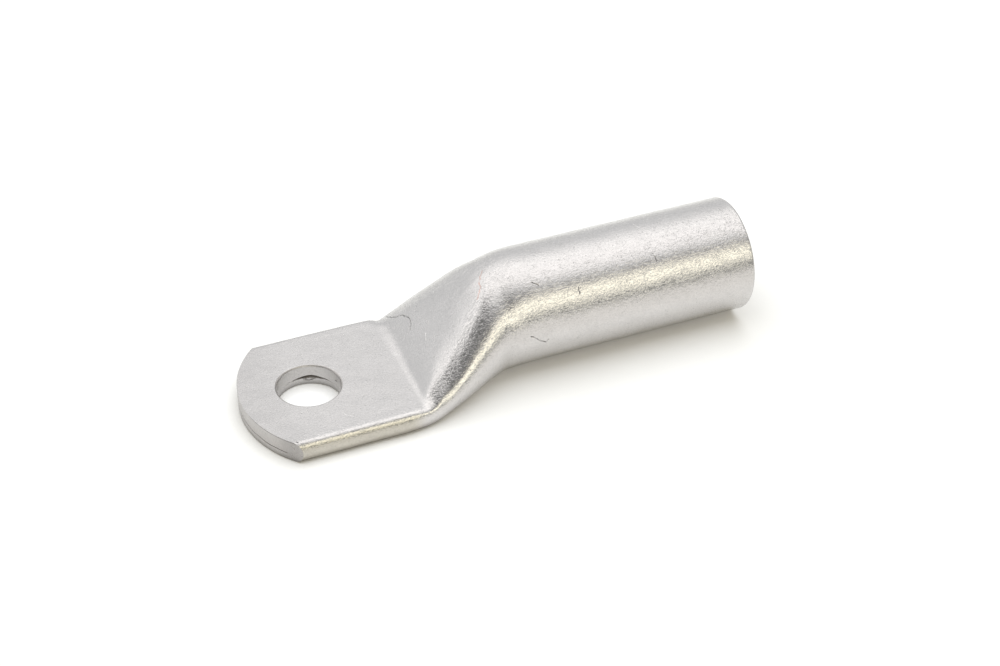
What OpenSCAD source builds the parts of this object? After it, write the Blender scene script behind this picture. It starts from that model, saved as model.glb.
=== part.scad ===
// Long barrel cable lug: one copper tube, pressed flat at one end to a palm with a stud hole.
// The origin is on the axis of the stud hole at the underside, +X runs to the mouth, +Z is up.

/* [Barrel] */
// Outside diameter of the tube
barrel_d = 24.2; // [22:0.1:27]
// Thickness of the tube's wall
wall = 2.5; // [2:0.1:3.2]
// Length of the round barrel, from the end of the neck to the mouth
barrel_len = 47.9; // [25:0.1:80]
// Bevel on the outer edge of the mouth
mouth_bevel = 0.4; // [0.1:0.1:0.8]
// Bevel on the inner edge of the mouth, which leads the conductor in
entry_bevel = 0.6; // [0.1:0.1:1]

/* [Neck] */
// Distance from the stud hole to the corner where palm and slope would meet
bend_at = 20.3; // [18:0.1:28]
// Angle of the slope between palm and barrel
slope_angle = 46; // [38:1:55]
// Radius of the bend between palm and slope
bend_r = 9; // [4:0.5:14]
// Radius of the shoulder between slope and barrel
shoulder_r = 17.5; // [8:0.5:22]
// Angle of the neck's sides in plan
flare_angle = 17; // [14:0.5:24]
// Radius in plan between the neck's sides and the palm's sides
flare_r = 58; // [25:1:60]

/* [Palm] */
// Thickness of the pressed palm
palm_t = 4.8; // [4:0.1:6.5]
// Share of the tube's girth that the pressed palm keeps
girth_kept = 0.98; // [0.94:0.005:1]
// Diameter of the stud hole
stud_hole_d = 13; // [8.4:0.1:17]
// Distance from the stud hole to the tip of the palm
tip_at = 14; // [12:0.1:18]
// Radius of the cut end
end_r = 22.9; // [18:0.1:30]

/* [Seam] */
// Gap that stays between the two pressed walls
seam_gap = 0.12; // [0.06:0.02:0.3]
// Height of the seam above the underside
seam_at = 1.7; // [1.4:0.1:2.4]

/* [Facets] */
// Points around a section of the outside
outer_points = 48; // [32:4:56]
// Points around a section of the hollow
inner_points = 36; // [24:4:40]
// Steps along the slope
slope_steps = 18; // [12:1:22]
// Steps along the shoulder
shoulder_steps = 7; // [4:1:10]

/* [Hidden] */
tin_colour = [0.78, 0.77, 0.76];
$fn = 96;

// Length by which joined solids and cuts overlap
lap = 1;
// Size of the lofted sections inside the round parts that they run into
loft_fit = 0.998;

barrel_r = barrel_d / 2;
bore_d = barrel_d - 2 * wall;
// A flattened tube keeps its girth: two flat sides and two half circles of the palm's thickness
palm_w = palm_t + (barrel_d - palm_t) * girth_kept * PI / 2;
slope_end = bend_at + (barrel_d - palm_t) / tan(slope_angle);
neck_end = slope_end + shoulder_r * tan(slope_angle / 2);
mouth_at = neck_end + barrel_len;
// Place where the neck's sides have reached the full width of the palm
flare_end = slope_end - (palm_w - barrel_d) / 2 / tan(flare_angle) - flare_r * tan(flare_angle / 2);
palm_end = min(flare_end, bend_at - bend_r * tan(slope_angle / 2));

// Rise from low to high along a straight slope with a fillet at its foot and a round at its head
function rise(x, foot, low, high, angle, foot_r, head_r) =
    let (
        head = foot + (high - low) / tan(angle),
        foot_start = foot - foot_r * tan(angle / 2),
        foot_stop = foot_start + foot_r * sin(angle),
        head_stop = head + head_r * tan(angle / 2),
        head_start = head_stop - head_r * sin(angle)
    )
    x <= foot_start ? low
    : x >= head_stop ? high
    : x < foot_stop ? low + foot_r - sqrt(pow(foot_r, 2) - pow(x - foot_start, 2))
    : x > head_start ? high - head_r + sqrt(pow(head_r, 2) - pow(head_stop - x, 2))
    : low + (x - foot) * tan(angle);

// Outside height and width of the pressed tube at a distance x from the stud hole
function height(x) = rise(x, bend_at, palm_t, barrel_d, slope_angle, bend_r, shoulder_r);
function width(x) = 2 * rise(-x, -slope_end, barrel_r, palm_w / 2, flare_angle, 0, flare_r);

// How far the tube is open, from 0 in the palm to 1 in the barrel
function opened(x) = (height(x) - palm_t) / (barrel_d - palm_t);
function hollow_height(x) = seam_gap + (bore_d - seam_gap) * opened(x);
function hollow_floor(x) = (seam_at - seam_gap / 2) * (1 - opened(x)) + wall * opened(x);

// Section with flat top and bottom and half-round sides, as a ring of points at x
function section(x, w, h, floor_z, count) = [
    for (i = [0 : count - 1])
        let (angle = (i + 0.5) * 360 / count, r = h / 2)
        [x, sign(cos(angle)) * (w / 2 - r) + loft_fit * r * cos(angle), floor_z + r + loft_fit * r * sin(angle)]
];

// Places of the sections: past the palm's end, along the slope, along the shoulder, into the barrel
stations = concat(
    [palm_end - lap],
    [for (i = [0 : slope_steps]) palm_end + (slope_end - palm_end) * i / slope_steps],
    [for (i = [1 : shoulder_steps]) slope_end + (neck_end - slope_end) * i / shoulder_steps],
    [neck_end + lap]
);

// Solid skinned over rings that have the same number of points
module skin(rings) {
    count = len(rings[0]);
    last = len(rings) - 1;
    polyhedron(
        points = [for (ring = rings) each ring],
        faces = concat(
            [[for (i = [0 : count - 1]) i]],
            [[for (i = [count - 1 : -1 : 0]) last * count + i]],
            [
                for (k = [0 : last - 1], i = [0 : count - 1])
                    let (j = (i + 1) % count)
                    [k * count + i, (k + 1) * count + i, (k + 1) * count + j, k * count + j]
            ]
        )
    );
}

// Flat palm with half-round sides and the cut end
module palm() {
    end_x = end_r - tip_at;
    side_y = (palm_w - palm_t) / 2;
    intersection() {
        union() {
            translate([-tip_at - lap, -side_y, 0])
                cube([palm_end + tip_at + lap, 2 * side_y, palm_t]);
            for (side = [-1, 1])
                translate([-tip_at - lap, side * side_y, palm_t / 2])
                    rotate([0, 90, 0])
                        cylinder(h = palm_end + tip_at + lap, d = palm_t);
        }
        union() {
            translate([end_x, 0, -lap])
                cylinder(h = palm_t + 2 * lap, r = end_r, $fn = 180);
            translate([end_x, -palm_w, -lap])
                cube([palm_end - end_x + lap, 2 * palm_w, palm_t + 2 * lap]);
        }
    }
}

// Slope and shoulder, where the tube opens from the palm to the barrel
module neck() {
    skin([for (x = stations) section(x, width(x), height(x), 0, outer_points)]);
}

// Round barrel with a bevel at the mouth
module barrel() {
    translate([neck_end, 0, barrel_r])
        rotate([0, 90, 0]) {
            cylinder(h = barrel_len - mouth_bevel, d = barrel_d);
            translate([0, 0, barrel_len - mouth_bevel])
                cylinder(h = mouth_bevel, r1 = barrel_r, r2 = barrel_r - mouth_bevel);
        }
}

// Hollow of the tube: the bore, the closing throat and the seam between the pressed walls
module hollow() {
    bore_r = bore_d / 2;
    seam_w = palm_w - 2 * wall;
    translate([neck_end, 0, barrel_r])
        rotate([0, 90, 0]) {
            cylinder(h = barrel_len + lap, d = bore_d);
            translate([0, 0, barrel_len - entry_bevel])
                cylinder(h = entry_bevel + lap, r1 = bore_r, r2 = bore_r + entry_bevel + lap);
        }
    skin([for (x = stations) section(x, width(x) - 2 * wall, hollow_height(x), hollow_floor(x), inner_points)]);
    translate([-tip_at - lap, -seam_w / 2, seam_at - seam_gap / 2])
        cube([palm_end + tip_at + lap, seam_w, seam_gap]);
}

module stud_hole() {
    translate([0, 0, -lap])
        cylinder(h = palm_t + 2 * lap, d = stud_hole_d);
}

module cable_lug() {
    color(tin_colour)
        difference() {
            union() {
                palm();
                neck();
                barrel();
            }
            hollow();
            stud_hole();
        }
}

cable_lug();
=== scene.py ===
"""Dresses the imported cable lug: a pressed tube of tin-plated copper on a pale studio floor."""

import math

import bpy
from mathutils import Matrix, Vector


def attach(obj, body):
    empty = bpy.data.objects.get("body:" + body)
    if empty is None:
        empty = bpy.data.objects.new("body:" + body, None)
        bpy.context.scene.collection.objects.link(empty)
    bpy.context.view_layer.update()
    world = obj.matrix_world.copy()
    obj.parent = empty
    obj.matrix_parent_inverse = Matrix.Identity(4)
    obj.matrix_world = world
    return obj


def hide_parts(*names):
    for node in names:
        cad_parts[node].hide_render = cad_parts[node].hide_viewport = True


bl_info = {
    "name": "Long Barrel Cable Lug",
    "version": (1, 0, 0),
    "blender": (4, 5, 0),
    "location": "3D View > Sidebar > Cable Lug",
    "description": "Builds a tin-plated cable lug from its pressing sizes, and the stage it is shown on",
    "category": "Object",
}

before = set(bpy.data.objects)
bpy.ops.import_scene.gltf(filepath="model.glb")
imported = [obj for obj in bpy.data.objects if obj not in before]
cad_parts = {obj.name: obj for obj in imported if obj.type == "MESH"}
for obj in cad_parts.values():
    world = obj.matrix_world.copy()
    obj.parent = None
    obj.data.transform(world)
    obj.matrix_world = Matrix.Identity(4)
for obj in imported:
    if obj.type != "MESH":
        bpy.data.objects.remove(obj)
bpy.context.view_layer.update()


def length(name, description, default):
    """Length property in metres."""
    return bpy.props.FloatProperty(
        name=name, description=description, default=default, min=0.0, subtype="DISTANCE", unit="LENGTH",
        precision=5
    )


def angle(name, description, degrees):
    """Angle property, given in degrees."""
    return bpy.props.FloatProperty(
        name=name, description=description, default=math.radians(degrees), subtype="ANGLE", unit="ROTATION"
    )


def share(name, description, default, most=1.0):
    """Plain number property from zero to most."""
    return bpy.props.FloatProperty(
        name=name, description=description, default=default, min=0.0, max=most, subtype="FACTOR",
        precision=4
    )


def colour(name, description, default):
    """Colour property."""
    return bpy.props.FloatVectorProperty(
        name=name, description=description, default=default, size=3, min=0.0, max=1.0, subtype="COLOR"
    )


class LugSizes(bpy.types.PropertyGroup):
    """Sizes of the pressed tube."""

    barrel_d: length("Barrel Diameter", "Outside diameter of the tube", 0.0242)
    wall: length("Wall", "Thickness of the tube's wall", 0.0025)
    barrel_len: length("Barrel Length", "From the end of the neck to the mouth", 0.0479)
    palm_t: length("Palm Thickness", "Thickness of the pressed palm", 0.0048)
    girth_kept: share("Girth Kept", "Share of the tube's girth that the pressed palm keeps", 0.98)
    tip_at: length("Tip Distance", "From the stud hole to the tip of the palm", 0.0142)
    end_r: length("End Radius", "Radius of the cut end", 0.0229)
    end_aside: bpy.props.FloatProperty(
        name="End Offset", description="Sideways place of the cut end's middle", default=-0.0007,
        subtype="DISTANCE", unit="LENGTH", precision=5
    )
    hole_d: length("Hole Diameter", "Diameter of the stud hole", 0.013)
    bend_at: length("Bend Distance", "From the stud hole to the corner of palm and slope", 0.0203)
    slope: angle("Slope Angle", "Angle between palm and slope", 46.0)
    bend_rim_r: length("Bend Radius at Rims", "Radius of the bend at the sides of the palm", 0.0125)
    bend_mid_r: length("Bend Radius in Middle", "Radius of the bend in the middle of the palm", 0.0028)
    bend_skew: angle("Bend Skew", "Turn in plan of the line where palm and slope meet", 3.0)
    rim_start: angle("Rim Start", "Angle around the side where the bend of the rims begins", 5.0)
    rim_spread: angle("Rim Spread", "Angle over which the middle bend runs out into the rims", 60.0)
    squash: share("Side Squash", "Depth of the palm's round sides against their height", 0.64)
    hip_from: length("Hip Start", "From the stud hole to the start of the pressed hips", 0.0178)
    hip_to: length("Hip End", "From the stud hole to the end of the pressed hips", 0.0410)
    hip_depth: length("Hip Depth", "Depth of the pressed hips", 0.00065)
    crown: length("Crown", "Fall of the slope towards its sides", 0.00045)
    crown_w: length("Crown Width", "Width of the fall of the slope towards its sides", 0.0060)
    hip_angle: angle("Hip Angle", "Tilt of the pressed hips", 22.0)
    shoulder_r: length("Shoulder Radius", "Radius between slope and barrel", 0.0175)
    flare: angle("Flare Angle", "Angle of the neck's sides in plan", 17.0)
    flare_r: length("Flare Radius", "Radius in plan between the neck's sides and the palm's sides", 0.058)
    kink_r: length("Kink Radius", "Radius in plan where barrel and neck meet", 0.0008)
    seam_gap: length("Seam Gap", "Gap between the two pressed walls", 0.00012)
    seam_at: length("Seam Height", "Height of the seam above the underside", 0.0017)
    seam_wander: length("Seam Wander", "How far the seam wanders up and down", 0.0006)
    mouth_round: length("Mouth Rounding", "Rounding of the mouth's outer edge", 0.0004)
    entry_round: length("Entry Rounding", "Rounding of the mouth's inner edge", 0.0006)
    hole_round: length("Hole Rounding", "Rounding of the stud hole's rims", 0.00035)
    end_round: length("End Rounding", "Roll-over at the lower edge of the cut end", 0.0004)
    dents: length("Dents", "Depth of the soft dents of the drawn tube", 0.000055)


class LugFinish(bpy.types.PropertyGroup):
    """Look of the tin plating."""

    tin: colour("Tin", "Colour of the plating", (0.742, 0.732, 0.727))
    sheared: colour("Sheared Tin", "Colour of the cut faces", (0.60, 0.583, 0.570))
    bore: colour("Bore", "Colour inside the tube", (0.62, 0.59, 0.565))
    grain: length("Grain", "Size of the tumbled grain", 0.0005)
    grain_depth: length("Grain Depth", "Depth of the tumbled grain", 0.000055)
    gloss_drawn: share("Roughness of Barrel", "Roughness of the tumbled barrel", 0.11)
    gloss_pressed: share("Roughness of Palm", "Roughness of the pressed flats", 0.26)


class StageSettings(bpy.types.PropertyGroup):
    """Camera, light and floor."""

    azimuth: angle("Azimuth", "Turn of the camera around the lug", -23.452)
    elevation: angle("Elevation", "Height angle of the camera", 36.933)
    roll: angle("Roll", "Tilt of the camera", 0.464)
    distance: length("Distance", "From the target to the camera", 0.403932)
    target: bpy.props.FloatVectorProperty(
        name="Target", description="Point in the middle of the picture",
        default=(0.042094, 0.001013, 0.005), size=3, subtype="TRANSLATION", unit="LENGTH", precision=5
    )
    lens: bpy.props.FloatProperty(
        name="Lens", description="Focal length in millimetres", default=70.104, min=1.0
    )
    lamp: bpy.props.FloatProperty(
        name="Lamp", description="Power of the overhead soft light", default=5.2, min=0.0,
        subtype="POWER", unit="POWER"
    )
    lamp_tint: colour("Lamp Colour", "Colour of the overhead soft light", (0.89, 0.93, 1.0))
    fill: share("Fill", "Level of the light from all around", 0.35)
    fill_tint: colour("Fill Colour", "Colour of the light from all around", (1.0, 0.90, 0.64))
    floor: colour("Floor", "Colour of the floor", (0.85, 0.85, 0.85))
    floor_lift: colour("Floor Lift", "Colour by which the floor is lightened", (1.0, 0.96, 0.86))
    floor_mirrored: colour(
        "Floor in Metal", "Colour of the floor as the metal mirrors it", (0.722, 0.70, 0.685)
    )


class Value:
    """A number in a node tree, so that a sum written here becomes Math nodes."""

    def __init__(self, tree, socket):
        self.tree = tree
        self.socket = socket

    def math(self, operation, *values):
        node = self.tree.nodes.new("ShaderNodeMath")
        node.operation = operation
        for socket, value in zip(node.inputs, values):
            plug(self.tree, socket, value)
        return Value(self.tree, node.outputs[0])

    def __add__(self, other):
        return self.math("ADD", self, other)

    def __radd__(self, other):
        return self.math("ADD", other, self)

    def __sub__(self, other):
        return self.math("SUBTRACT", self, other)

    def __rsub__(self, other):
        return self.math("SUBTRACT", other, self)

    def __mul__(self, other):
        return self.math("MULTIPLY", self, other)

    def __rmul__(self, other):
        return self.math("MULTIPLY", other, self)

    def __truediv__(self, other):
        return self.math("DIVIDE", self, other)

    def __rtruediv__(self, other):
        return self.math("DIVIDE", other, self)

    def __gt__(self, other):
        return self.math("GREATER_THAN", self, other)

    def __abs__(self):
        return self.math("ABSOLUTE", self)

    def least(self, other):
        return self.math("MINIMUM", self, other)

    def most(self, other):
        return self.math("MAXIMUM", self, other)

    def clamp(self, low=0.0, high=1.0):
        return self.most(low).least(high)

    def smooth(self):
        held = self.clamp()
        return held * held * (3.0 - 2.0 * held)

    def sqrt(self):
        return self.math("SQRT", self.most(0.0))

    def sin(self):
        return self.math("SINE", self)

    def cos(self):
        return self.math("COSINE", self)

    def tan(self):
        return self.math("TANGENT", self)

    def sign(self):
        return self.math("SIGN", self)

    def atan2(self, other):
        return self.math("ARCTAN2", self, other)


def plug(tree, socket, value):
    """Links a value or socket into a socket, or sets it to a plain value."""
    if isinstance(value, Value):
        tree.links.new(value.socket, socket)
    elif isinstance(value, bpy.types.NodeSocket):
        tree.links.new(value, socket)
    else:
        socket.default_value = value


def add(tree, kind, inputs=None, **settings):
    """Adds a node with its settings, and fills its inputs."""
    node = tree.nodes.new(kind)
    for key, value in settings.items():
        setattr(node, key, value)
    for key, value in (inputs or {}).items():
        plug(tree, node.inputs[key], value)
    return node


def out(tree, node, name=0):
    """Output of a node as a value."""
    return Value(tree, node.outputs[name])


def split(tree, vector):
    """The three numbers of a vector."""
    node = add(tree, "ShaderNodeSeparateXYZ", {0: vector})
    return [out(tree, node, i) for i in range(3)]


def joined(tree, x, y, z):
    """Vector of three numbers."""
    return out(tree, add(tree, "ShaderNodeCombineXYZ", {0: x, 1: y, 2: z}))


def noise(tree, place, scale, detail, roughness=0.5, distortion=0.0):
    """Noise texture's level at a place."""
    inputs = {
        "Vector": place, "Scale": scale, "Detail": detail, "Roughness": roughness, "Distortion": distortion
    }
    return out(tree, add(tree, "ShaderNodeTexNoise", inputs, noise_dimensions="3D"))


def spread(tree):
    """Lays the nodes of a tree out in rows."""
    for i, node in enumerate(tree.nodes):
        node.location = (220 * (i // 10), -180 * (i % 10))


def new_tree(name, inputs):
    """Geometry tree with named inputs, each a (name, socket type, default) row."""
    tree = bpy.data.node_groups.new(name, "GeometryNodeTree")
    for label, kind, default in inputs:
        socket = tree.interface.new_socket(label, in_out="INPUT", socket_type=kind)
        if default is not None:
            socket.default_value = default
    tree.interface.new_socket("Geometry", in_out="OUTPUT", socket_type="NodeSocketGeometry")
    entry = tree.nodes.new("NodeGroupInput")
    return tree, {label: out(tree, entry, label) for label, _, _ in inputs}


# Lug body

LUG_INPUTS = [
    ("Barrel Diameter", "barrel_d"),
    ("Wall", "wall"),
    ("Barrel Length", "barrel_len"),
    ("Palm Thickness", "palm_t"),
    ("Girth Kept", "girth_kept"),
    ("Tip Distance", "tip_at"),
    ("End Radius", "end_r"),
    ("End Offset", "end_aside"),
    ("Hole Diameter", "hole_d"),
    ("Bend Distance", "bend_at"),
    ("Slope Angle", "slope"),
    ("Bend Radius at Rims", "bend_rim_r"),
    ("Bend Radius in Middle", "bend_mid_r"),
    ("Rim Start", "rim_start"),
    ("Rim Spread", "rim_spread"),
    ("Side Squash", "squash"),
    ("Bend Skew", "bend_skew"),
    ("Hip Start", "hip_from"),
    ("Hip End", "hip_to"),
    ("Hip Depth", "hip_depth"),
    ("Hip Angle", "hip_angle"),
    ("Crown", "crown"),
    ("Crown Width", "crown_w"),
    ("Shoulder Radius", "shoulder_r"),
    ("Flare Angle", "flare"),
    ("Flare Radius", "flare_r"),
    ("Kink Radius", "kink_r"),
    ("Seam Gap", "seam_gap"),
    ("Seam Height", "seam_at"),
    ("Seam Wander", "seam_wander"),
    ("Mouth Rounding", "mouth_round"),
    ("Entry Rounding", "entry_round"),
    ("Hole Rounding", "hole_round"),
    ("End Rounding", "end_round"),
    ("Dents", "dents"),
]

# How far the cutters reach past the faces that they cut
LAP = 0.001
OUTLINE_REACH = 0.12
OUTLINE_TOP = 0.03

# Points around and rings along each blank, and rings in a rounded end
SKIN_AROUND = 200
SKIN_ALONG = 272
HOLLOW_AROUND = 144
HOLLOW_ALONG = 150
OUTLINE_AROUND = 256
HOLE_AROUND = 144
CUTTER_ALONG = 34
ROUND_RINGS = 8.0

# Neck: where its sides are round again, and how its bend line turns and widens across the palm
ROUND_AGAIN = 0.25
SKEW_ABOUT = 0.005
SKEW_ENDS = 1.4
SKEW_RUN = 0.008
BEND_WIDENS = 0.03
BEND_LEAST = 0.55
BEND_MOST = 1.6

# Crown of the slope: its share at the foot, and the runs over which it grows, starts and ends
CROWN_AT_FOOT = 0.15
CROWN_GROWS = 0.0045
CROWN_STARTS = 0.003
CROWN_END = 0.044
CROWN_ENDS = 0.014
CROWN_MOST = 1.2

# Hips: how fast they rise and fade, how far they follow the lowered bend, and their soft edge
HIP_RISE = 7.0
HIP_FADE = 1.45
HIP_FOLLOW = 0.7
HIP_SOFT = 0.0005

# Waves of the soft dents to a metre
DENT_SCALE = 210.0

# Seam: where and how far it gapes in the hole's far wall and at the cut end, and how it is pinched elsewhere
GAPE_X = 0.0022
GAPE_Y = 0.006
GAPE_REACH = 0.005
GAPE_IN_HOLE = 6.0
END_GAPE_X = -0.006
END_GAPE_X_RUN = 0.002
END_GAPE_Y = 0.002
END_GAPE_Y_RUN = 0.003
GAPE_AT_END = 1.3
PINCHED = 0.85
SEAM_ENDS = 0.02
WANDER_SCALE = 330.0

# Edge of the pressed flats
FLAT_EDGE = 0.002
FLAT_PAST = 0.3


def rise(x, foot, low, high, slope, foot_r, head_r):
    """Height of a straight slope with a fillet at its foot and a round at its head."""
    foot_start = foot - foot_r * (slope / 2.0).tan()
    foot_run = foot_r * slope.sin()
    head_stop = foot + (high - low) / slope.tan() + head_r * (slope / 2.0).tan()
    head_run = head_r * slope.sin()
    in_foot = (x - foot_start).clamp(0.0, foot_run)
    in_slope = (x - foot_start - foot_run).clamp(0.0, head_stop - head_run - foot_start - foot_run)
    in_head = (head_stop - x).clamp(0.0, head_run)
    foot_part = foot_r - (foot_r * foot_r - in_foot * in_foot).sqrt()
    head_part = (head_r * head_r - in_head * in_head).sqrt() - head_r * slope.cos()
    return low + foot_part + in_slope * slope.tan() + head_part


class LugShape:
    """Rule of the lug's form: its worked-out sizes, and its section's height and width along the tube."""

    def __init__(self, tree, size):
        self.tree = tree
        self.size = size
        self.barrel_d = size["Barrel Diameter"]
        self.wall = size["Wall"]
        self.palm_t = size["Palm Thickness"]
        self.slope = size["Slope Angle"]
        self.tip_at = size["Tip Distance"]
        flattened = (self.barrel_d - self.palm_t) * size["Girth Kept"] * (math.pi / 2.0)
        self.palm_w = self.palm_t + flattened
        self.slope_end = size["Bend Distance"] + (self.barrel_d - self.palm_t) / self.slope.tan()
        neck_end = self.slope_end + size["Shoulder Radius"] * (self.slope / 2.0).tan()
        self.mouth_at = neck_end + size["Barrel Length"]

    def height(self, x, bend_r):
        """Height of the outer section at a place along the tube."""
        size = self.size
        return rise(
            x, size["Bend Distance"], self.palm_t, self.barrel_d, self.slope, bend_r, size["Shoulder Radius"]
        )

    def width(self, x):
        """Width of the outer section at a place along the tube."""
        size = self.size
        half = rise(
            x * -1.0, self.slope_end * -1.0, self.barrel_d / 2.0, self.palm_w / 2.0,
            size["Flare Angle"], size["Kink Radius"], size["Flare Radius"]
        )
        return half * 2.0

    def opened(self, height):
        """Share by which a section of some height has opened from the palm to the round barrel."""
        return (height - self.palm_t) / (self.barrel_d - self.palm_t)


def walk_section(turn, width, height, squash):
    """Sideways and upward place on a slot-shaped section, and the turn into its side."""
    tall = height / 2.0
    deep = tall * squash
    flat = width / 2.0 - deep
    mean = ((tall * tall + deep * deep) / 2.0).sqrt()
    walked = abs(turn) / math.pi * (flat * 2.0 + mean * math.pi)
    bend = ((walked - flat) / mean).clamp(0.0, math.pi)
    side = walked.least(flat) + deep * bend.sin() - (walked - flat - mean * math.pi).most(0.0)
    return side * turn.sign() * -1.0, tall + tall * bend.cos(), bend


def ring_ends(step, last, rounding):
    """Distance run into a rounded end and inward move there, over the rounded rings before last."""
    quarter = (step - (last - ROUND_RINGS)).clamp(0.0, ROUND_RINGS) * (math.pi / 2.0 / ROUND_RINGS)
    return rounding * quarter.sin(), rounding * (1.0 - quarter.cos())


def tube_blank(tree, around, along):
    """Plain cylinder whose points know their turn around it and their ring."""
    blank = add(
        tree, "GeometryNodeMeshCylinder",
        {"Vertices": around, "Side Segments": along, "Radius": 1.0, "Depth": 1.0}, fill_type="NGON"
    )
    x, y, z = split(tree, out(tree, tree.nodes.new("GeometryNodeInputPosition")))
    return blank.outputs["Mesh"], x, y, y.atan2(x), (z + 0.5) * float(along)


def cutter_blank(lug, around):
    """Upright cylinder through the palm, and how far each point lies on its lowest and highest ring."""
    blank, x, y, _, step = tube_blank(lug.tree, around, CUTTER_ALONG)
    level = ((step - 1.0) / (CUTTER_ALONG - 2.0)).clamp()
    z = lug.palm_t * (0.5 - (level * math.pi).cos() * 0.5)
    lowest = (1.0 - step).clamp()
    highest = (step - (CUTTER_ALONG - 1.0)).clamp()
    return blank, x, y, z, lowest, highest


def shaped(tree, mesh, x, y, z, mark):
    """Moves the points of a mesh and marks its faces with the tool that made them."""
    moved = add(tree, "GeometryNodeSetPosition", {"Geometry": mesh, "Position": joined(tree, x, y, z)})
    marked = moved.outputs[0]
    for name in ("cut", "bore"):
        marked = add(
            tree, "GeometryNodeStoreNamedAttribute",
            {"Geometry": marked, "Name": name, "Value": 1.0 if name == mark else 0.0},
            data_type="FLOAT", domain="FACE"
        ).outputs[0]
    return marked


def boolean(tree, operation, first, second):
    """Mesh Boolean of two meshes."""
    node = add(tree, "GeometryNodeMeshBoolean", operation=operation, solver="MANIFOLD")
    sockets = [s for s in node.inputs if s.type == "GEOMETRY"]
    if operation == "DIFFERENCE":
        tree.links.new(first, sockets[0])
        tree.links.new(second, sockets[1])
    else:
        tree.links.new(first, sockets[1])
        tree.links.new(second, sockets[1])
    return node.outputs["Mesh"]


def crown_drop(lug, x, y, rim_height, bend):
    """Fall of the slope towards its sides."""
    size = lug.size
    flat_half = (lug.width(x) - rim_height) / 2.0
    up_slope = x - size["Bend Distance"]
    grown_to = (up_slope / CROWN_GROWS).smooth() * (1.0 - CROWN_AT_FOOT) + CROWN_AT_FOOT
    out_to = ((abs(y) - flat_half) / (size["Crown Width"] * grown_to) + 1.0).clamp(0.0, CROWN_MOST)
    on_slope = (up_slope / CROWN_STARTS).smooth() * ((CROWN_END - x) / CROWN_ENDS).smooth() * grown_to
    return size["Crown"] * out_to * out_to * on_slope * bend.cos().most(0.0)


def hip_move(lug, x, y, z, rim_height, mid_height):
    """Distance by which the skin is pressed in by the tilted flats beside the slope."""
    size = lug.size
    tall = rim_height / 2.0
    hip_len = size["Hip End"] - size["Hip Start"]
    risen = ((x - size["Hip Start"]) / hip_len * HIP_RISE).smooth()
    near_hip = risen * ((size["Hip End"] - x) / hip_len * HIP_FADE).smooth()
    lowered = z - tall + (rim_height - mid_height) * HIP_FOLLOW
    sideways = abs(y) - (lug.width(x) / 2.0 - tall)
    past = sideways * size["Hip Angle"].sin() + lowered * size["Hip Angle"].cos()
    over = past - (tall - size["Hip Depth"] * near_hip)
    return (over + (over * over + HIP_SOFT * HIP_SOFT).sqrt()) * 0.5 * near_hip


def pressed_skin(lug):
    """Outer skin from past the cut end to the rounded mouth, with the bend, the crown and the hips."""
    tree = lug.tree
    size = lug.size
    blank, _, _, turn, step = tube_blank(tree, SKIN_AROUND, SKIN_ALONG)
    run, inset = ring_ends(step, float(SKIN_ALONG), size["Mouth Rounding"])
    start = lug.tip_at * -1.0 - LAP
    straight = lug.mouth_at - size["Mouth Rounding"] - start
    x = start + straight * (step / (SKIN_ALONG - ROUND_RINGS)).least(1.0) + run
    rim_height = lug.height(x, size["Bend Radius at Rims"])
    opened = lug.opened(rim_height).clamp()
    squash = size["Side Squash"] + (1.0 - size["Side Squash"]) * (opened / ROUND_AGAIN).smooth()
    y, z, bend = walk_section(turn, lug.width(x) - inset * 2.0, rim_height - inset * 2.0, squash)

    # The middle bends more sharply than the rims, along a slightly turned line
    on_top = 1.0 - ((bend - size["Rim Start"]) / size["Rim Spread"]).smooth()
    near_bend = ((size["Bend Distance"] * SKEW_ENDS - x) / SKEW_RUN).smooth()
    skewed = (y - SKEW_ABOUT) * size["Bend Skew"].tan() * near_bend
    bend_r = size["Bend Radius in Middle"] * (1.0 + y / BEND_WIDENS).clamp(BEND_LEAST, BEND_MOST)
    mid_height = lug.height(x - skewed, bend_r)
    z = z + inset + (mid_height - rim_height) * on_top

    z = z - crown_drop(lug, x, y, rim_height, bend)
    moved = hip_move(lug, x, y, z, rim_height, mid_height)
    y = y - y.sign() * moved * size["Hip Angle"].sin()
    z = z - moved * size["Hip Angle"].cos()
    return shaped(tree, blank, x, y, z, "")


def dented(lug, mesh):
    """Soft dents of the drawn tube, kept above the floor."""
    tree = lug.tree
    place = out(tree, tree.nodes.new("GeometryNodeInputPosition"))
    facing = out(tree, tree.nodes.new("GeometryNodeInputNormal"))
    waves = add(
        tree, "ShaderNodeTexNoise",
        {"Vector": place, "W": lug.size["Seed"], "Scale": DENT_SCALE, "Detail": 2.0, "Roughness": 0.45},
        noise_dimensions="4D"
    )
    deep = (out(tree, waves) - 0.5) * lug.size["Dents"] * 2.0
    pushed = add(tree, "ShaderNodeVectorMath", {0: facing, "Scale": deep}, operation="SCALE")
    mesh = add(tree, "GeometryNodeSetPosition", {"Geometry": mesh, "Offset": pushed.outputs[0]}).outputs[0]
    x, y, z = split(tree, place)
    held = joined(tree, x, y, z.most(0.0))
    return add(tree, "GeometryNodeSetPosition", {"Geometry": mesh, "Position": held}).outputs[0]


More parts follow.
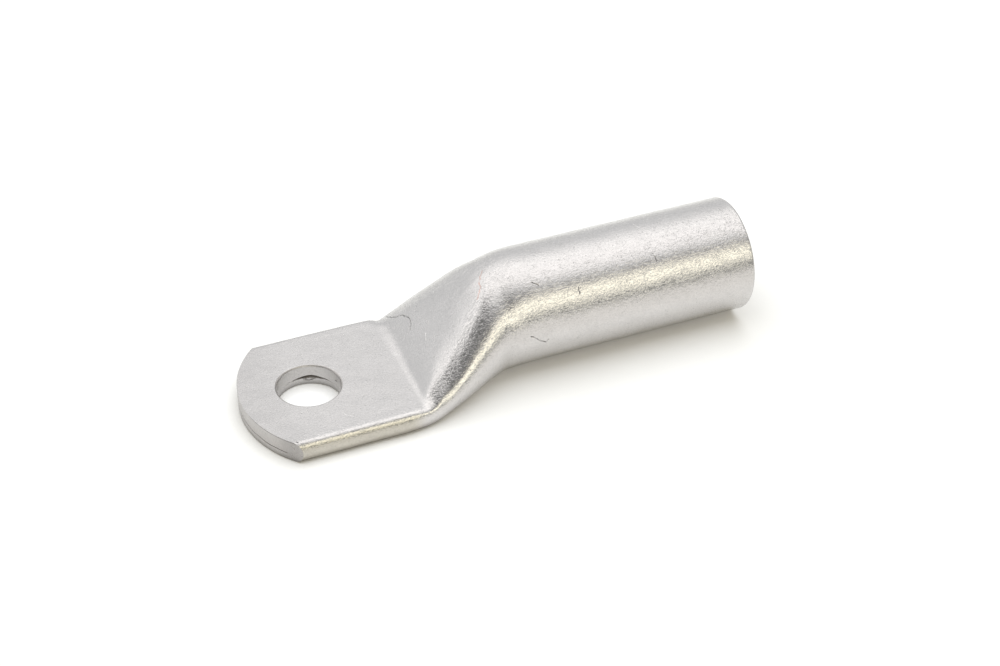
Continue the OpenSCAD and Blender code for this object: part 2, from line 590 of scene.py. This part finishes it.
def hollow_tool(lug):
    """Bore, throat and closed seam, which gapes at the end and in the stud hole's far wall."""
    tree = lug.tree
    size = lug.size
    gap = size["Seam Gap"]
    bore_d = lug.barrel_d - lug.wall * 2.0
    blank, _, _, turn, step = tube_blank(tree, HOLLOW_AROUND, HOLLOW_ALONG)
    run, widened = ring_ends(step, HOLLOW_ALONG - 1.0, size["Entry Rounding"])
    start = lug.tip_at * -1.0 - LAP * 2.0
    straight = lug.mouth_at - size["Entry Rounding"] - start
    along = (step / (HOLLOW_ALONG - 1.0 - ROUND_RINGS)).least(1.0)
    x = start + straight * along + run + (step > HOLLOW_ALONG - 0.5) * LAP
    opened = lug.opened(lug.height(x, size["Bend Radius in Middle"]))
    hollow_w = lug.width(x) - lug.wall * 2.0
    hollow_h = gap + (bore_d - gap) * opened
    hollow_floor = (size["Seam Height"] - gap / 2.0) * (1.0 - opened) + lug.wall * opened
    y, z, _ = walk_section(turn, hollow_w + widened * 2.0, hollow_h + widened * 2.0, 1.0)

    from_hole = ((x - GAPE_X) * (x - GAPE_X) + (y - GAPE_Y) * (y - GAPE_Y)).sqrt()
    in_hole = (1.0 - from_hole / GAPE_REACH).smooth()
    at_end = ((END_GAPE_X - x) / END_GAPE_X_RUN).smooth() * ((END_GAPE_Y - y) / END_GAPE_Y_RUN).smooth()
    waves = noise(tree, joined(tree, x, y, 0.0), WANDER_SCALE, 1.0)
    closed = 1.0 - (opened / SEAM_ENDS).smooth()
    gape = 1.0 + (in_hole * GAPE_IN_HOLE + at_end * GAPE_AT_END - PINCHED) * closed
    wander = (waves - 0.5) * size["Seam Wander"] * closed
    return shaped(tree, blank, x, y, z * gape + hollow_floor - widened + wander, "bore")


def outline_tool(lug):
    """Outline of the palm with its round cut end, open towards the mouth."""
    size = lug.size
    soft = size["End Rounding"]
    blank, across, aside, z, lowest, highest = cutter_blank(lug, OUTLINE_AROUND)
    low_round = (soft - z).clamp(0.0, soft)
    radius = size["End Radius"] - (soft - (soft * soft - low_round * low_round).sqrt())
    x = size["End Radius"] - lug.tip_at + across * radius + (across > 0.0001) * OUTLINE_REACH
    z = z - lowest * LAP + highest * OUTLINE_TOP
    return shaped(lug.tree, blank, x, aside * radius + size["End Offset"], z, "cut")


def hole_tool(lug):
    """Stud hole with rounded rims."""
    soft = lug.size["Hole Rounding"]
    blank, across, aside, z, lowest, highest = cutter_blank(lug, HOLE_AROUND)
    near_rim = (soft - z.least(lug.palm_t - z)).clamp(0.0, soft)
    radius = lug.size["Hole Diameter"] / 2.0 + soft - (soft * soft - near_rim * near_rim).sqrt()
    z = z - lowest * LAP + highest * LAP
    return shaped(lug.tree, blank, across * radius, aside * radius, z, "cut")


def pressed_marked(lug, mesh):
    """Stores the share by which each point lies on a pressed flat."""
    tree = lug.tree
    x, y, _ = split(tree, out(tree, tree.nodes.new("GeometryNodeInputPosition")))
    flat = (lug.width(x) - lug.height(x, lug.size["Bend Radius at Rims"])) / 2.0
    pressed = ((flat - abs(y)) / FLAT_EDGE + FLAT_PAST).smooth()
    return add(
        tree, "GeometryNodeStoreNamedAttribute",
        {"Geometry": mesh, "Name": "pressed", "Value": pressed}, data_type="FLOAT", domain="POINT"
    ).outputs[0]


def lug_tree(sizes):
    """Geometry tree of the lug: a pressed skin cut to its outline, less the hollow and the stud hole."""
    rows = [(label, "NodeSocketFloat", getattr(sizes, key)) for label, key in LUG_INPUTS]
    rows.append(("Seed", "NodeSocketFloat", 3.0))
    rows.append(("Material", "NodeSocketMaterial", None))
    tree, size = new_tree("pressed_lug", rows)
    lug = LugShape(tree, size)
    body = dented(lug, pressed_skin(lug))
    body = boolean(tree, "INTERSECT", body, outline_tool(lug))
    body = boolean(tree, "DIFFERENCE", body, hollow_tool(lug))
    body = boolean(tree, "DIFFERENCE", body, hole_tool(lug))
    body = pressed_marked(lug, body)
    body = add(tree, "GeometryNodeRealizeInstances", {"Geometry": body}).outputs[0]
    body = add(tree, "GeometryNodeSetMaterial", {"Geometry": body, "Material": size["Material"]}).outputs[0]
    exit_node = tree.nodes.new("NodeGroupOutput")
    tree.links.new(body, exit_node.inputs[0])
    spread(tree)
    return tree


def grown(name, tree, inputs):
    """Runs a geometry tree with the given inputs and keeps the result as a plain mesh object."""
    base = bpy.data.objects.new(name, bpy.data.meshes.new(name))
    bpy.context.collection.objects.link(base)
    modifier = base.modifiers.new(tree.name, "NODES")
    modifier.node_group = tree
    sockets = {s.name: s.identifier for s in tree.interface.items_tree if s.in_out == "INPUT"}
    for label, value in inputs.items():
        modifier[sockets[label]] = value
    evaluated = base.evaluated_get(bpy.context.evaluated_depsgraph_get())
    mesh = bpy.data.meshes.new_from_object(evaluated)
    base.modifiers.remove(modifier)
    base.data = mesh
    mesh.name = name
    return base


# Tin plating

# Wear marks: places given and put on the surface, in millimetres from the stud hole,
# and the widths of their lines in metres
# Creases: fold and crack lines, bumped and darkened with painted shade
CREASES = {
    "across the slope": [
        (22.2, 15.2, 5.2), (22.6, 13.3, 6.2), (23.2, 11.9, 7.1), (23.8, 11.1, 7.9), (24.2, 10.3, 8.4),
        (24.7, 8.0, 9.1), (24.5, 6.4, 9.1), (23.8, 5.1, 8.3)
    ],
    "barrel beside the shoulder": [(45.5, -6.8, 22.1), (46.8, -7.5, 21.6)],
    "barrel towards the mouth": [(72.5, -6.9, 22.0), (72.8, -8.3, 20.9)],
    "middle of the barrel": [(54.8, -9.2, 20.0), (54.7, -10.0, 18.8)],
    "side of the neck": [
        (43.0, -12.1, 12.9), (44.3, -12.1, 12.2), (45.4, -12.1, 11.1), (46.6, -12.0, 10.4),
        (47.2, -12.1, 11.1)
    ],
    "seam in the stud hole": [
        (0.9, 6.4, 1.5), (1.3, 6.4, 1.6), (2.9, 5.8, 1.7), (4.3, 4.9, 1.7), (6.4, 1.3, 2.9)
    ],
    "below the seam": [(0.9, 6.4, 1.2), (2.2, 6.2, 1.1), (3.2, 5.7, 1.5)],
    "corner of the tip": [(-7.9, -15.7, 4.8), (-6.6, -16.8, 4.2)],
}
STAINS = {
    "shoulder": [(38.0, 0.9, 21.9), (36.5, -1.1, 20.9), (36.2, -2.6, 20.6), (34.8, -4.3, 19.3)],
}
SCRATCHES = {
    "slope": [(25.4, 0.5, 10.2), (24.8, -1.2, 9.6)],
    "top of the barrel": [(72.1, 1.6, 24.1), (72.2, 0.4, 24.2), (72.7, -0.4, 24.2)],
    "palm beside the hole": [(3.5, -11.3, 4.8), (4.2, -12.2, 4.8), (5.0, -12.9, 4.8)],
    "palm on the near side": [(13.2, -8.4, 4.8), (13.3, -8.2, 4.8)],
    "palm on the far side": [(12.0, 13.3, 4.8), (12.1, 13.2, 4.8)],
}
CREASE_W = 0.0001
STAIN_W = 0.00014
SCRATCH_W = 0.00007
MARK_SHAKE = 0.0005
SHAKE_SCALE = 1800.0
STAIN_COLOUR = (0.60, 0.30, 0.22)

# Spots: size and cover of the pits and of the glints on the pressed flats
PIT_SIZE = 0.00045
PIT_COVER = 0.10
GLINT_SIZE = 0.0004
GLINT_COVER = 0.06
GLINT_SHIFT = (0.031, 0.017, 0.009)

# Painted warm reflection and shade on the palm's sides: its tint, and where it ends along the tube and
# upwards
SIDE_REFLECTION_TINT = (0.85, 0.83, 0.75)
SIDE_ENDS = 0.0195
SIDE_ENDS_RUN = 0.004
SIDE_TOP = 0.0047
SIDE_TOP_RUN = 0.0008

# Cut end: where the plating darkens towards the tip, and the painted shade on the cut face, dark at its near
# corner and paler on its near half
TIP_DARK_X = -0.001
TIP_DARK_RUN = 0.009
CORNER_Y = -0.0115
CORNER_RUN = 0.0045
NEAR_HALF_Y = 0.002
NEAR_HALF_RUN = 0.006

# Painted shade: dark lines at the tip's top edge and at the mouth's edge
TOP_LINE_AT = 0.0045
TOP_LINE_SOFT = 0.0002
TOP_LINE_Y = -0.003
TOP_LINE_Y_RUN = 0.004
MOUTH_LINE_AT = 0.0940
MOUTH_LINE_SOFT = 0.00015

# Height of the painted shade at the foot of a cut face, darker towards the floor, and what the drawn skin
# adds to it
FOOT_H = 0.0013
FOOT_H_DRAWN = 0.0009

# Clouds, fine mottling and shear lines of the plating, in waves to a metre, and the shear lines' radius
CLOUD_SCALE = 260.0
FINE_SCALE = 3600.0
SHEAR_SCALE = 4000.0
SHEAR_RADIUS = 0.0065

# Faces that meet at more than this angle, in degrees, keep a sharp edge
SHARP_EDGE = 38.0

# With fewer faces than this, the body didn't come out
FEWEST_FACES = 1000


def mixed(tree, share_of_second, first, second, blend_type="MIX"):
    """Mix of two colours, each a value from the tree or plain red, green and blue."""
    node = add(tree, "ShaderNodeMix", {0: share_of_second}, data_type="RGBA", blend_type=blend_type)
    for index, value in ((6, first), (7, second)):
        plug(tree, node.inputs[index], value if isinstance(value, Value) else (*value, 1.0))
    return out(tree, node, 2)


def scaled(tree, colour_in, level):
    """Colour multiplied by a level."""
    return mixed(tree, 1.0, colour_in, joined(tree, level, level, level), "MULTIPLY")


def dot(tree, first, second):
    """Dot product of two vectors."""
    node = add(tree, "ShaderNodeVectorMath", {0: first, 1: second}, operation="DOT_PRODUCT")
    return Value(tree, node.outputs["Value"])


def vector_math(tree, operation, first, second):
    """Vector sum, difference or product of two vectors."""
    return out(tree, add(tree, "ShaderNodeVectorMath", {0: first, 1: second}, operation=operation))


def new_group(name, inputs, outputs):
    """Shader node group with named inputs and outputs."""
    tree = bpy.data.node_groups.new(name, "ShaderNodeTree")
    for label, kind, default in inputs:
        socket = tree.interface.new_socket(label, in_out="INPUT", socket_type=kind)
        if default is not None:
            socket.default_value = default
    for label, kind in outputs:
        tree.interface.new_socket(label, in_out="OUTPUT", socket_type=kind)
    entry = tree.nodes.new("NodeGroupInput")
    given = {label: out(tree, entry, label) for label, _, _ in inputs}
    return tree, given, tree.nodes.new("NodeGroupOutput")


def hairline_group():
    """Mask of a fine line between two points, soft at its edges."""
    tree, given, result = new_group("hairline", [
        ("Place", "NodeSocketVector", None),
        ("From", "NodeSocketVector", None),
        ("To", "NodeSocketVector", None),
        ("Width", "NodeSocketFloat", 0.0001),
    ], [("Mask", "NodeSocketFloat")])
    line = vector_math(tree, "SUBTRACT", given["To"], given["From"])
    gone = vector_math(tree, "SUBTRACT", given["Place"], given["From"])
    along = (dot(tree, gone, line) / dot(tree, line, line).most(1e-12)).clamp()
    reached = add(tree, "ShaderNodeVectorMath", {0: line, "Scale": along}, operation="SCALE")
    off = vector_math(tree, "SUBTRACT", gone, reached.outputs[0])
    away = dot(tree, off, off).sqrt()
    plug(tree, result.inputs["Mask"], (1.5 - away / given["Width"]).clamp())
    spread(tree)
    return tree


def speckle_group():
    """Scattered small spots of uneven size."""
    tree, given, result = new_group("speckle", [
        ("Place", "NodeSocketVector", None),
        ("Size", "NodeSocketFloat", 0.0004),
        ("Cover", "NodeSocketFloat", 0.1),
    ], [("Mask", "NodeSocketFloat")])
    cells = noise(tree, given["Place"], 1.0 / given["Size"], 1.0)
    edge = 0.78 - given["Cover"]
    plug(tree, result.inputs["Mask"], ((cells - edge) * 9.0).clamp())
    spread(tree)
    return tree


def spots(tree, speckle, place, size, cover):
    """Mask of scattered spots."""
    node = add(tree, "ShaderNodeGroup", node_tree=speckle)
    plug(tree, node.inputs["Place"], place)
    node.inputs["Size"].default_value = size
    node.inputs["Cover"].default_value = cover
    return out(tree, node, "Mask")


def marks(tree, hairline, place, lines, width):
    """Mask of named chains of fine lines, each a list of points in millimetres."""
    mask = 0.0
    for points in lines.values():
        for first, second in zip(points, points[1:]):
            node = add(tree, "ShaderNodeGroup", node_tree=hairline)
            plug(tree, node.inputs["Place"], place)
            node.inputs["From"].default_value = [c / 1000.0 for c in first]
            node.inputs["To"].default_value = [c / 1000.0 for c in second]
            node.inputs["Width"].default_value = width
            mask = out(tree, node, "Mask").most(mask)
    return mask


def tumbled_relief(tree, finish, place, pressed, cut):
    """Height of the grain and flakes, or of the shear lines on a cut face, and the mask of torn curls."""
    x, y, z = split(tree, place)
    scale = 1.0 / finish.grain
    tumbled = 1.0 - pressed * 0.6
    grain = noise(tree, place, scale, 2.5, roughness=0.65)
    flakes = noise(tree, joined(tree, x * 0.45, y, z), scale * 0.7, 2.0, distortion=1.2)
    flake_edge = (1.0 - abs(flakes - 0.5) * 14.0).clamp()
    curls = noise(tree, place, scale * 0.42, 1.0, distortion=2.5)
    patches = noise(tree, place, scale * 0.3, 0.0)
    curl = (1.0 - abs(curls - 0.56) * 55.0).clamp() * ((patches - 0.6) * 12.0).clamp() * tumbled
    around = y.atan2(x) * SHEAR_RADIUS
    shear = noise(tree, joined(tree, around, z * 0.04, x * 0.05), SHEAR_SCALE, 2.0)
    height = (grain - flake_edge * 0.2) * tumbled * (1.0 - cut) + shear * cut * 0.5
    return height, curl


def shaken_place(tree, place):
    """Place moved a little about, so that fine lines don't run straight."""
    wiggle = add(tree, "ShaderNodeTexNoise", {"Vector": place, "Scale": SHAKE_SCALE, "Detail": 1.0})
    bent = vector_math(tree, "SUBTRACT", wiggle.outputs["Color"], (0.5, 0.5, 0.5))
    bent = vector_math(tree, "MULTIPLY", bent, (MARK_SHAKE, MARK_SHAKE, MARK_SHAKE))
    return vector_math(tree, "ADD", place, bent)


def curls_and_painted_shade(tree, place, cut, curl):
    """Level of the plating: painted shade near the floor, on the cut end and in dark lines at the tip's top
    edge and the mouth's edge, darker towards the tip, and darker on the torn curls.
    """
    x, y, z = split(tree, place)
    # Painted shade, darker towards the floor
    foot = 0.62 + (z / (FOOT_H + (1.0 - cut) * FOOT_H_DRAWN)).smooth() * 0.38
    to_tip = ((TIP_DARK_X - x) / TIP_DARK_RUN).smooth()
    near_half = ((NEAR_HALF_Y - y) / NEAR_HALF_RUN).smooth()
    at_corner = ((CORNER_Y - y) / CORNER_RUN).smooth() - near_half * 0.4
    # Darker towards the tip, with painted shade on the cut face, deepest at its near corner
    end_face = 1.0 - to_tip * 0.07 - to_tip * cut * (0.06 + at_corner * 0.26)
    # Painted shade lines at the tip's top edge and at the mouth's edge
    at_top = ((z - TOP_LINE_AT) / TOP_LINE_SOFT).smooth()
    top_line = to_tip * cut * at_top * ((TOP_LINE_Y - y) / TOP_LINE_Y_RUN).smooth()
    mouth_line = ((x - MOUTH_LINE_AT) / MOUTH_LINE_SOFT).smooth()
    lines = (1.0 - top_line * 0.4) * (1.0 - mouth_line * 0.35)
    return foot * (1.0 - curl * 0.16) * end_face * lines


def tin_material(finish):
    """Tin plating: grainy on the drawn tube, satin on the pressed flats, sheared at the cuts."""
    material = bpy.data.materials.new("tumbled_tin")
    material.use_nodes = True
    tree = material.node_tree
    shader = tree.nodes["Principled BSDF"]
    place = out(tree, tree.nodes.new("ShaderNodeTexCoord"), "Object")
    x, _, z = split(tree, place)
    named = [add(tree, "ShaderNodeAttribute", attribute_name=name) for name in ("pressed", "cut", "bore")]
    pressed, cut, bore = [out(tree, node, "Fac") for node in named]
    height, curl = tumbled_relief(tree, finish, place, pressed, cut)

    # Wear marks, creases darkened with painted shade, and spots
    shaken = shaken_place(tree, place)
    hairline = hairline_group()
    creases = marks(tree, hairline, shaken, CREASES, CREASE_W)
    stains = marks(tree, hairline, shaken, STAINS, STAIN_W)
    scratches = marks(tree, hairline, shaken, SCRATCHES, SCRATCH_W)
    speckle = speckle_group()
    pits = spots(tree, speckle, place, PIT_SIZE, PIT_COVER)
    shifted = vector_math(tree, "ADD", place, GLINT_SHIFT)
    glints = spots(tree, speckle, shifted, GLINT_SIZE, GLINT_COVER) * pressed
    height = height - curl * 0.25 - creases * 1.2 - scratches * 0.5 - pits * 0.35
    bump = add(tree, "ShaderNodeBump", {"Strength": 1.0, "Distance": finish.grain_depth, "Height": height})
    tree.links.new(bump.outputs[0], shader.inputs["Normal"])

    # Colour: cloudy plating, darker in the cuts and the bore, with painted shade in the creases, near the
    # floor, on the cut end and at the tip's and the mouth's edges, and a painted warm reflection and shade
    # on the palm's sides
    cloud = noise(tree, place, CLOUD_SCALE, 4.0, roughness=0.65) - 0.5
    fine = noise(tree, place, FINE_SCALE, 1.0) - 0.5
    bright = 1.0 + cloud * 0.14 + fine * 0.32
    # Pits darker, creases darkened with painted shade, scratches and glints lighter
    bright = bright * (1.0 - pits * 0.22) * (1.0 - creases * 0.7) * (1.0 + (scratches + glints * 0.5) * 0.3)
    drawn = (1.0 - pressed) * (1.0 - cut) * (1.0 - bore)
    # Painted warm reflection and shade on the palm's round sides
    side = drawn * ((SIDE_ENDS - x) / SIDE_ENDS_RUN).smooth() * ((SIDE_TOP - z) / SIDE_TOP_RUN).smooth()
    side_reflected_tin = [level * tint for level, tint in zip(finish.tin, SIDE_REFLECTION_TINT)]
    base = mixed(tree, cut, finish.tin, finish.sheared)
    base = mixed(tree, bore * 0.8, base, finish.bore)
    base = mixed(tree, stains * 0.45, base, STAIN_COLOUR)
    base = mixed(tree, side, base, side_reflected_tin)
    # The colour's level carries painted shade near the floor, on the cut end and at the tip's and mouth's
    # edges
    plug(tree, shader.inputs["Base Color"], scaled(tree, base, bright * curls_and_painted_shade(tree, place, cut, curl)))
    plug(tree, shader.inputs["Metallic"], 1.0 - bore * 0.5)

    rough = pressed * (finish.gloss_pressed - finish.gloss_drawn) + finish.gloss_drawn
    plug(tree, shader.inputs["Roughness"], rough + cut * 0.16 + bore * 0.2 + cloud * 0.12 + creases * 0.2)
    spread(tree)
    return material


class BuildLugBody(bpy.types.Operator):
    """Build the pressed body of the lug in its tin plating"""

    bl_idname = "cable_lug.build_body"
    bl_label = "Build Lug Body"

    def execute(self, context):
        sizes = context.scene.lug_sizes
        inputs = {label: getattr(sizes, key) for label, key in LUG_INPUTS}
        inputs["Material"] = tin_material(context.scene.lug_finish)
        body = grown("lug_body", lug_tree(sizes), inputs)
        if len(body.data.polygons) < FEWEST_FACES:
            raise RuntimeError("the lug body came out empty")
        body.data.shade_smooth()
        body.data.set_sharp_from_angle(angle=math.radians(SHARP_EDGE))
        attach(body, "root")
        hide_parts("cable_lug")
        return {"FINISHED"}


# Stage

# Studio that the metal mirrors, by angle from overhead towards the camera side: angle, red, green, blue
STUDIO_BANDS = [
    (-90.0, 0.71, 0.71, 0.71),
    (-70.0, 0.71, 0.71, 0.715),
    (-52.0, 0.76, 0.76, 0.76),
    (-36.0, 1.14, 1.12, 1.11),
    (-26.0, 1.30, 1.28, 1.26),
    (6.0, 1.30, 1.26, 1.24),
    (16.0, 1.12, 1.10, 1.08),
    (25.0, 0.84, 0.83, 0.82),
    (32.0, 0.47, 0.47, 0.46),
    (40.0, 0.37, 0.36, 0.35),
    (46.0, 0.95, 0.90, 0.80),
    (51.0, 1.52, 1.45, 1.22),
    (68.0, 1.52, 1.45, 1.22),
    (74.0, 0.90, 0.87, 0.78),
    (79.0, 0.30, 0.30, 0.28),
    (88.0, 0.36, 0.36, 0.34),
]
BAND_TOP = 1.6
TIP_TONE = (0.50, 0.50, 0.50)
MOUTH_TONE = (0.16, 0.16, 0.16)
WHITE = (1.0, 1.0, 1.0)

# The dark gap beside the overhead light: its limits and middle, in degrees, the share of a direction's x
# below which it widens, and its level at the tip
GAP_FROM = 16.0
GAP_TO = 54.0
GAP_SOFT = 12.0
GAP_MIDDLE = 37.0
GAP_WIDENS_AT = 0.32
GAP_LEVEL = 0.42

# Directions that get a tone of their own, by their x: towards the tip, and a strip towards the mouth
TIP_FROM = 0.75
TIP_RUN = 0.2
MOUTH_FROM = 0.54
MOUTH_TO = 0.86
MOUTH_RUN = 0.10

# Floor, with the distance at which its far part starts to get lighter, and the soft light's size and place
FLOOR_RADIUS = 1.5
FLOOR_DROP = 0.00002
FAR_FROM = 0.25
FAR_RUN = 0.5
LAMP_SIZE = 0.8
LAMP_PLACE = (0.07, 0.06, 0.6)


def mirrored_rays(tree, path):
    """Share of rays that come from gloss or through glass."""
    return out(tree, path, "Is Glossy Ray").most(out(tree, path, "Is Transmission Ray"))


def band_colour(tree, x, around, at_tip):
    """Colour of the studio in a direction, with the dark gap wider and deeper towards the tip."""
    to_tip = (GAP_WIDENS_AT - x).clamp()
    narrow = 1.0 - to_tip * 0.75 - ((to_tip - 0.75) / 0.2).clamp() * 0.15
    widened = GAP_MIDDLE + (around - GAP_MIDDLE) * narrow
    opens = ((around + 70.0) / 50.0).smooth()
    around = around + (widened - around) * opens
    in_gap = ((around - GAP_FROM) / GAP_SOFT).smooth() * ((GAP_TO - around) / GAP_SOFT).smooth()
    level = 1.0 - in_gap * (1.0 - at_tip) * (1.0 - GAP_LEVEL) * (to_tip / 0.85).clamp()
    ramp = add(tree, "ShaderNodeValToRGB", {0: around / 180.0 + 0.5})
    ramp.color_ramp.interpolation = "B_SPLINE"
    stops = ramp.color_ramp.elements
    while len(stops) < len(STUDIO_BANDS):
        stops.new(1.0)
    for stop, (degrees, red, green, blue) in zip(stops, STUDIO_BANDS):
        stop.position = degrees / 180.0 + 0.5
        stop.color = (red / BAND_TOP, green / BAND_TOP, blue / BAND_TOP, 1.0)
    return out(tree, ramp), level


def studio_world(stage):
    """World that is white behind the object, banded for the metal, and plain for the floor."""
    world = bpy.data.worlds.new("studio_world")
    bpy.context.scene.world = world
    world.use_nodes = True
    world.cycles.sampling_method = "NONE"
    tree = world.node_tree
    path = tree.nodes.new("ShaderNodeLightPath")
    x, y, z = split(tree, tree.nodes.new("ShaderNodeTexCoord").outputs["Generated"])
    around = (y * -1.0).atan2(z) * (180.0 / math.pi)
    at_tip = ((x * -1.0 - TIP_FROM) / TIP_RUN).smooth()
    at_mouth = ((x - MOUTH_FROM) / MOUTH_RUN).smooth() * ((MOUTH_TO - x) / MOUTH_RUN).smooth()
    bands, level = band_colour(tree, x, around, at_tip)
    bands = mixed(tree, at_tip, bands, TIP_TONE)
    bands = mixed(tree, at_mouth, bands, MOUTH_TONE)
    bands = scaled(tree, bands, level * BAND_TOP)
    filled = [stage.fill * part for part in stage.fill_tint]
    seen = mixed(tree, mirrored_rays(tree, path), filled, bands)
    seen = mixed(tree, out(tree, path, "Is Camera Ray"), seen, WHITE)
    plug(tree, tree.nodes["Background"].inputs["Color"], seen)
    spread(tree)


def floor_material(stage):
    """Pale matt floor, a little lighter to the camera and in reflections, which keeps its shadows."""
    material = bpy.data.materials.new("pale_floor")
    material.use_nodes = True
    tree = material.node_tree
    shader = tree.nodes["Principled BSDF"]
    shader.inputs["Roughness"].default_value = 1.0
    shader.inputs["Specular IOR Level"].default_value = 0.0
    shader.inputs["Emission Color"].default_value = (*stage.floor_lift, 1.0)
    path = tree.nodes.new("ShaderNodeLightPath")
    x, y, _ = split(tree, tree.nodes.new("ShaderNodeTexCoord").outputs["Object"])
    far = (((x * x + y * y).sqrt() - FAR_FROM) / FAR_RUN).smooth()
    to_camera = out(tree, path, "Is Camera Ray") * (0.15 + far * 0.7)
    plug(tree, shader.inputs["Emission Strength"], mirrored_rays(tree, path) * 0.07 + to_camera)
    mirrored = out(tree, path, "Is Glossy Ray") * ((0.01 - y) / 0.05).smooth()
    plug(tree, shader.inputs["Base Color"], mixed(tree, mirrored, stage.floor, stage.floor_mirrored))
    spread(tree)
    return material


class BuildStage(bpy.types.Operator):
    """Build the floor, the soft light and the camera"""

    bl_idname = "cable_lug.build_stage"
    bl_label = "Build Stage"

    def execute(self, context):
        stage = context.scene.stage_settings
        context.scene.view_settings.view_transform = "Standard"
        studio_world(stage)

        mesh = bpy.data.meshes.new("stage_floor")
        turns = [math.radians(a) for a in range(0, 360, 6)]
        rim = [(math.cos(t) * FLOOR_RADIUS, math.sin(t) * FLOOR_RADIUS, -FLOOR_DROP) for t in turns]
        mesh.from_pydata(rim, [], [list(range(len(rim)))])
        mesh.materials.append(floor_material(stage))
        floor = bpy.data.objects.new("stage_floor", mesh)
        context.collection.objects.link(floor)

        lamp = bpy.data.lights.new("soft_light", "AREA")
        lamp.shape = "SQUARE"
        lamp.size = LAMP_SIZE
        lamp.energy = stage.lamp
        lamp.color = stage.lamp_tint
        overhead = bpy.data.objects.new("soft_light", lamp)
        overhead.location = LAMP_PLACE
        overhead.visible_glossy = False
        overhead.visible_camera = False
        context.collection.objects.link(overhead)

        flat = math.cos(stage.elevation)
        ahead = Vector((math.sin(stage.azimuth), -math.cos(stage.azimuth), 0.0))
        back = ahead * flat + Vector((0.0, 0.0, math.sin(stage.elevation)))
        side = Vector((math.cos(stage.azimuth), math.sin(stage.azimuth), 0.0))
        top = back.cross(side)
        right = side * math.cos(stage.roll) + top * math.sin(stage.roll)
        up = top * math.cos(stage.roll) - side * math.sin(stage.roll)
        view = bpy.data.cameras.new("photo_camera")
        view.lens = stage.lens
        view.sensor_width = 36.0
        camera = bpy.data.objects.new("photo_camera", view)
        turn = Matrix((right, up, back)).transposed().to_4x4()
        camera.matrix_world = Matrix.Translation(Vector(stage.target) + back * stage.distance) @ turn
        context.collection.objects.link(camera)
        context.scene.camera = camera
        return {"FINISHED"}


class CableLugPanel(bpy.types.Panel):
    """Sizes, finish and stage of the cable lug"""

    bl_idname = "VIEW3D_PT_cable_lug"
    bl_label = "Cable Lug"
    bl_space_type = "VIEW_3D"
    bl_region_type = "UI"
    bl_category = "Cable Lug"

    def draw(self, context):
        for group in (context.scene.lug_sizes, context.scene.lug_finish, context.scene.stage_settings):
            box = self.layout.box()
            for key in group.bl_rna.properties.keys():
                if key not in ("rna_type", "name"):
                    box.prop(group, key)
        self.layout.operator(BuildLugBody.bl_idname)
        self.layout.operator(BuildStage.bl_idname)


CLASSES = (LugSizes, LugFinish, StageSettings, BuildLugBody, BuildStage, CableLugPanel)


def register():
    """Registers the classes and hangs their settings on the scene."""
    for cls in CLASSES:
        bpy.utils.register_class(cls)
    bpy.types.Scene.lug_sizes = bpy.props.PointerProperty(type=LugSizes)
    bpy.types.Scene.lug_finish = bpy.props.PointerProperty(type=LugFinish)
    bpy.types.Scene.stage_settings = bpy.props.PointerProperty(type=StageSettings)


def unregister():
    """Takes back what register did."""
    del bpy.types.Scene.stage_settings
    del bpy.types.Scene.lug_finish
    del bpy.types.Scene.lug_sizes
    for cls in reversed(CLASSES):
        bpy.utils.unregister_class(cls)


def main():
    """Builds everything."""
    register()
    bpy.ops.cable_lug.build_body()
    bpy.ops.cable_lug.build_stage()


if __name__ == "__main__":
    main()
